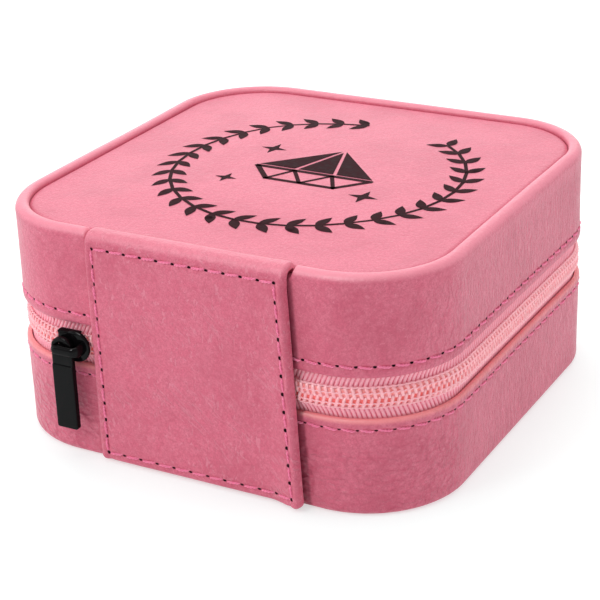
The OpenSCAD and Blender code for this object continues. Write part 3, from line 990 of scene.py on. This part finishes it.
def zip_chain():
    """Both tapes and coils. The closed stretch past the slider stays on the base."""
    deep = MID_Z - TAPE_LOW[2] + 0.1
    first, last = math.ceil(ZIP_START / COIL_PITCH), math.floor(ZIP_END / COIL_PITCH)
    parting = round(CLOSED_END / COIL_PITCH)
    tape("tape_lower", "base", ZIP_START, ZIP_END, -deep, 1.5, "zip_tape_lower")
    tape("tape_upper", "lid", parting * COIL_PITCH, ZIP_END, deep, 1.4, "zip_tape_upper")
    tape("tape_end", "base", ZIP_START, parting * COIL_PITCH - 0.02, 4.3, 1.4, "zip_tape_end")
    coil("coil_lower", "base", first, last, -1, "zip_coil_lower")
    coil("coil_upper", "lid", parting, last, 1, "zip_coil_upper")
    coil("coil_end", "base", first, parting, 1, "zip_coil_end")


# ---- Slider and pull: outlines hold (x, z) points ----

def leftward(outline):
    """Directions to the left of a closed outline, at each of its points."""
    d = unit(np.roll(outline, -1, 0) - np.roll(outline, 1, 0))
    return np.column_stack([-d[:, 1], d[:, 0]])


def at_depth(outline, y):
    return np.insert(outline, 1, y, axis=1)


def plate(pile, outline, y0, y1, edge, dome=0.0):
    """Adds a plate with a rounded edge between y0 and y1. dome is how far its middle rises past y1."""
    inward = leftward(outline)
    if np.sum((outline.mean(0) - outline) * inward) < 0:
        inward = -inward
    rings = []
    for face, turn in ((y0, 1), (y1, -1)):
        for a in np.linspace(0, RIGHT_ANGLE, 6)[::turn]:
            ring = outline + inward * edge * (1 - math.sin(a))
            rings.append(at_depth(ring, face + turn * edge * (1 - math.cos(a))))
    def shrunk(ring, k, lift=0.0):
        return ring.mean(0) + (ring - ring.mean(0)) * k + [0, lift * (1 - k * k), 0]
    low = [shrunk(rings[0], k) for k in (0.25, 0.5, 0.75)]
    high = [shrunk(rings[-1], k, dome) for k in (0.75, 0.5, 0.25)]
    pile.rod(np.stack(low + rings + high))


def holed_plate(pile, outer, inner, y0, y1, edge):
    """Adds a plate with a rounded edge and a hole. Both outlines hold the same number of points."""
    rings = []
    for outline, sign, y, turn in ((inner, -1, y0, 1), (inner, -1, y1, -1),
                                   (outer, 1, y1, 1), (outer, 1, y0, -1)):
        inward = 1 if y == y0 else -1
        for a in np.linspace(0, RIGHT_ANGLE, 4):
            away, level = (1 - math.sin(a), 1 - math.cos(a))[::turn]
            ring = outline + leftward(outline) * sign * edge * away
            rings.append(at_depth(ring, y + inward * edge * level))
    pile.grid(np.stack(rings), True, True)


def wing_outline(length, height):
    """Slider wing round its middle: a round nose towards the hinge panel, a waist and a flared tail."""
    nose = height / 2
    a = np.radians(np.linspace(62, 298, 40))
    nose_points = np.column_stack([-0.2 + nose * np.cos(a), nose * np.sin(a)])
    waist_x, waist, tail = 2.35, nose * 0.80, nose * 0.93
    rest = rounded([(*nose_points[-1], 0), (waist_x, -waist, 0.8), (length / 2, -tail, 0.5),
                    (length / 2, tail, 0.5), (waist_x, waist, 0.8), (*nose_points[0], 0)], 0.25)
    return np.concatenate([nose_points, rest[1:-1]])


def slider():
    """Two wings, the post between them at the nose, and the rails along their long edges."""
    low, high = box("slider_body")
    length, height = high[0] - low[0], high[2] - low[2]
    middle = np.array([(low[0] + high[0]) / 2, MID_Z])
    wing_t, edge_r = 1.1, 0.42
    outline = wing_outline(length, height) + middle
    pile = Pile()
    plate(pile, outline, high[1] - wing_t - 0.1, high[1] - 0.25, edge_r, dome=0.25)
    plate(pile, outline, low[1], low[1] + wing_t, edge_r)
    post_x = middle[0] - length / 2 + 1.4
    pile.tube([(post_x, y, MID_Z) for y in (low[1] + 0.6, high[1] - 0.6)], (0, 0, 1.0), 0.45, sides=16)
    for side in (-1, 1):
        rail = rounded([(-1.0, 0, 0), (length / 2 - 0.15, 0, 0)], 0.5)
        rail = rail + middle + [0, side * (height / 2 - 0.62)]
        pile.tube(at_depth(rail, high[1] - 1.15), (0, 1.0, 0), 0.34, 1.0, sides=14)
    settle(pile.make("slider", BLACK, 35.0), "slider", "slider_metal", "slider_body")


def bridge():
    """Arched bar from the slider's nose over the pull's eye, and the leg that stands in the eye."""
    low, high = box("slider_bridge")
    foot = box("slider_body")[1][1] - 0.3
    top = high[1] - 0.6
    leg_x = sum(corner[0] for corner in box("pull_tab")) / 2
    line = rounded([(low[0] + 0.55, foot, 0), (low[0] + 0.65, top, 1.2), (high[0] - 0.45, top, 0.6),
                    (high[0] - 0.4, top - 0.75, 0)], 0.14)
    t = np.linspace(0, 1, len(line))
    width = 1.3 - 0.28 * smoothstep(t, 0.12, 0.4) - 0.15 * smoothstep(t, 0.8, 1.0)
    points = np.insert(line, 2, MID_Z, axis=1)
    up = unit(np.cross(np.gradient(points, axis=0), (0, 0, 1.0)))
    pile = Pile().tube(points, up, width, 0.56, sides=18)
    pile.tube([(leg_x, foot, MID_Z), (leg_x, top, MID_Z)], (0, 0, 1.0), 1.15, sides=24)
    settle(pile.make("bridge", BLACK, 35.0), "slider", "slider_metal", "slider_bridge")


def pull():
    """Flat pull: a straight-sided eye round the bridge's leg, and a thicker grip below it."""
    low, high = box("pull_tab")
    radius = (high[0] - low[0]) / 2
    middle = np.array([(high[0] + low[0]) / 2, MID_Z])
    eye_t, eye_foot, hole_r, grip_top = 1.2, 4.0, 1.25, -3.6
    circle = around(56)
    cos, sin = np.maximum(np.abs(circle.T), 1e-6)
    square = np.minimum(radius / cos, eye_foot / sin)
    outer = circle * np.where(circle[:, 1] >= 0, radius, square)[:, None]
    pile = Pile()
    holed_plate(pile, outer + middle, hole_r * circle + middle, low[1], low[1] + eye_t, 0.3)
    foot = low[2] - MID_Z
    grip = rounded([(-radius, grip_top, 0.35), (radius, grip_top, 0.35), (radius, foot, 0.5),
                    (-radius, foot, 0.5)], 0.35, closed=True)
    plate(pile, grip + middle, low[1], high[1], 0.25, dome=0.05)
    settle(pile.make("pull", BLACK, 35.0), "pull", "slider_metal", "pull_tab")


# ---- Inside ----

def lining(name, body, node, floor, edge, up):
    """Velvet over a floor and the walls, rolled over the board's edge. up is 1, or -1 in the lid."""
    deep = ROOM_HALF - HALF
    corners = [
        (deep - 10, floor + 0.8 * up, 0), (deep, floor + 0.8 * up, 1.2), (deep, edge + 0.35 * up, 0.7),
        (-BOARD_IN, edge + 0.35 * up, 0.3), (-BOARD_IN, edge + 0.02 * up, 0.1),
        (deep + 0.75, edge - 0.05 * up, 0.1), (deep + 0.75, floor, 0.2), (deep - 10, floor, 0),
    ]
    out, z = rounded(corners[::up], 0.5).T
    stations = all_round(WALL, 0.9)
    x, y, _, _ = spot(stations, WALL)
    inside_tape = -(outside(x, y, ZIP) + 0.4)
    pile = Pile().band(swept(WALL, stations, np.minimum(out, inside_tape), z))
    settle(pile.make(name, VELVET), body, "velvet", node)


def weld(piece, distance=0.02):
    """Joins points that lie at the same place."""
    mesh = bmesh.new()
    mesh.from_mesh(piece.data)
    bmesh.ops.remove_doubles(mesh, verts=mesh.verts, dist=distance * MM)
    bmesh.ops.recalc_face_normals(mesh, faces=mesh.faces)
    mesh.to_mesh(piece.data)
    mesh.free()
    return piece


def pad(name, low, high, edge, puff, material):
    """A closed padded block: rounded edges, and faces that swell by puff in their middles."""
    centre, reach = (low + high) / 2, (high - low) / 2
    counts = [max(3, int(round(d))) for d in high - low]
    pile = Pile()
    for axis in range(3):
        u_axis, v_axis = (axis + 1) % 3, (axis + 2) % 3
        for side in (-1, 1):
            p = np.full((counts[u_axis] + 1, counts[v_axis] + 1, 3), float(side))
            p[..., u_axis] = np.linspace(-1, 1, counts[u_axis] + 1)[:, None]
            p[..., v_axis] = np.linspace(-1, 1, counts[v_axis] + 1)
            pile.grid(p[::side])
    cube = np.concatenate(pile.points)
    core = np.clip(cube * reach, edge - reach, reach - edge)
    fall = 1 - np.abs(cube) ** 3
    room = np.roll(fall, 1, 1) * np.roll(fall, -1, 1)
    placed = centre + (core + unit(cube * reach - core) * edge) * (1 + puff / reach * room)
    # Keeps the block within the room's walls
    x, y = placed[:, 0], placed[:, 1]
    over = np.maximum(outside(x, y, ROOM) + 0.3, 0)
    step = 0.01
    slope = np.column_stack([outside(x + step, y, ROOM) - outside(x - step, y, ROOM),
                             outside(x, y + step, ROOM) - outside(x, y - step, ROOM)]) / (2 * step)
    placed[:, :2] -= over[:, None] * slope
    pile.points = [placed]
    return weld(pile.make(name, material))


def padded_blocks():
    """The ring rolls, which stand clear of one another, and the dividers."""
    for node in (f"ring_roll_{i}" for i in range(1, 6)):
        low, high = box(node) + np.array([[0.4, 0.25, 0.05], [-0.4, -0.25, -0.6]])
        piece = pad(node + "_velvet", low, high, 5.2, (0.3, 0.2, 0.5), ROLL_VELVET)
        settle(piece, "base", "roll_velvet", node)
    for node in ("long_divider", "cross_divider_1", "cross_divider_2"):
        piece = pad(node + "_velvet", *box(node), 0.7, (0.05, 0.05, 0.0), VELVET)
        settle(piece, "base", "velvet", node)


def mirror_surround():
    """Padded leather frame round the mirror."""
    low, high = box("mirror_frame")
    half, top = high[0], high[2]
    foot = low[2] - 0.25
    inner = box("mirror")[1][0] - 1.5 - half
    out, up = rounded([
        (inner, top - 0.1, 0), (inner, top - 1.7, 0.2), (inner + 0.6, foot, 0.9),
        (-0.3, foot, 1.0), (0, top - 0.5, 0.4), (0, top - 0.02, 0),
    ], 0.35, closed=True).T
    path = (half, 12.0)
    pile = Pile().grid(swept(path, all_round(path, 0.6), out, up), True, True)
    piece = pile.make("mirror_surround", LEATHER_TOP)
    settle(piece, "lid", "mirror_frame", "mirror_frame")


def finish_cad_nodes():
    """Materials for the CAD nodes that stay."""
    for node, material in (("base_board", BOARD), ("lid_board", BOARD), ("lid_top_foam", FOAM),
                           ("zip_top_stop", BLACK_CAD), ("zip_bottom_stop", BLACK_CAD), ("mirror", MIRROR)):
        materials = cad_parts[node].data.materials
        materials.clear()
        materials.append(material)


# ---- Camera, floor and light, in metres ----

TARGET = Vector((0, 0, 0.025))


def camera():
    """The camera stands behind the case, to its +Y -X side."""
    azimuth, elevation, roll = math.radians(209.21), math.radians(23.25), math.radians(-2.06)
    distance = 0.395
    data = bpy.data.cameras.new("camera")
    data.lens = 108.3
    data.sensor_width = 36
    data.shift_x = -0.016
    data.shift_y = -0.039
    data.clip_start, data.clip_end = 0.01, 20
    cam = linked("camera", data)
    turned = Matrix.Rotation(azimuth, 4, "Z") @ Matrix.Rotation(RIGHT_ANGLE - elevation, 4, "X")
    cam.matrix_world = (Matrix.Translation(TARGET) @ turned @ Matrix.Rotation(roll, 4, "Z")
                        @ Matrix.Translation((0, 0, distance)))
    bpy.context.scene.camera = cam


def softbox(name, direction, distance, size, radiance, tint=(1, 1, 1)):
    """A square light that faces the case. radiance is how bright its face looks."""
    data = bpy.data.lights.new(name, "AREA")
    data.shape = "SQUARE"
    data.size = size
    data.energy = radiance * math.pi * size * size
    data.color = tint
    light = linked(name, data)
    toward = Vector(direction).normalized()
    light.location = toward * distance + TARGET
    light.rotation_mode = "QUATERNION"
    light.rotation_quaternion = toward.to_track_quat("Z", "Y")
    return light


def floor():
    """Pale floor that glows a little, so that it stays white round the case."""
    sh = Shader("white_floor", Specular_IOR_Level=0.1, Emission_Color=(1, 1, 1, 1), Emission_Strength=0.54)
    grain = sh.noise(sh.add("TexCoord", {}, "Object"), 40.0)
    sh.body = sh.mixed(grain, (0.46, 0.54, 0.53), (0.50, 0.58, 0.57))
    reach = 6.0 / MM
    corners = reach * np.array([[(-1, -1, 0), (-1, 1, 0)], [(1, -1, 0), (1, 1, 0)]])
    Pile().grid(corners).make("floor", sh.finished(0.9))


def lights():
    """White surroundings, and soft studio lights. The last one only makes highlights."""
    world = bpy.data.worlds.new("surroundings")
    world.use_nodes = True
    background = world.node_tree.nodes["Background"]
    background.inputs["Color"].default_value = (1, 1, 1, 1)
    background.inputs["Strength"].default_value = 0.55
    bpy.context.scene.world = world
    bpy.context.scene.view_settings.view_transform = "Standard"
    softbox("overhead", (0.1, -0.15, 1), 0.75, 0.7, 2.22, (1.0, 0.97, 0.94))
    softbox("far_side", (0.5, -0.85, 0.32), 0.9, 0.9, 1.3)
    softbox("left_flank", (1, 0.55, 0.35), 0.7, 0.5, 1.76, (1.0, 0.96, 1.0))
    softbox("right_flank", (-1, -0.45, 0.3), 0.7, 0.5, 1.3, (1.0, 0.97, 1.0))
    softbox("glint", (0.35, 0.8, 0.75), 0.6, 0.12, 11.0)
    softbox("shine", (0.1, 0.75, 0.8), 0.6, 0.14, 45.0).visible_diffuse = False


camera()
floor()
lights()
base_wall = base_cover()
lid_wall = lid_cover()
foot_panel()
lid_top()
ornament()
wall_stitches("base_stitches", "base", BASE_EDGE - SEAM_IN, "base_thread", base_wall)
wall_stitches("lid_stitches", "lid", LID_EDGE + SEAM_IN, "lid_thread", lid_wall)
hinge_stitches(hinge_panel())
hinge_backing()
zip_chain()
slider()
bridge()
pull()
lining("base_velvet", "base", "base_lining", box("base_lining")[0][2], BASE_EDGE, 1)
lining("lid_velvet", "lid", "lid_lining", box("lid_lining")[1][2], LID_EDGE, -1)
padded_blocks()
mirror_surround()
finish_cad_nodes()
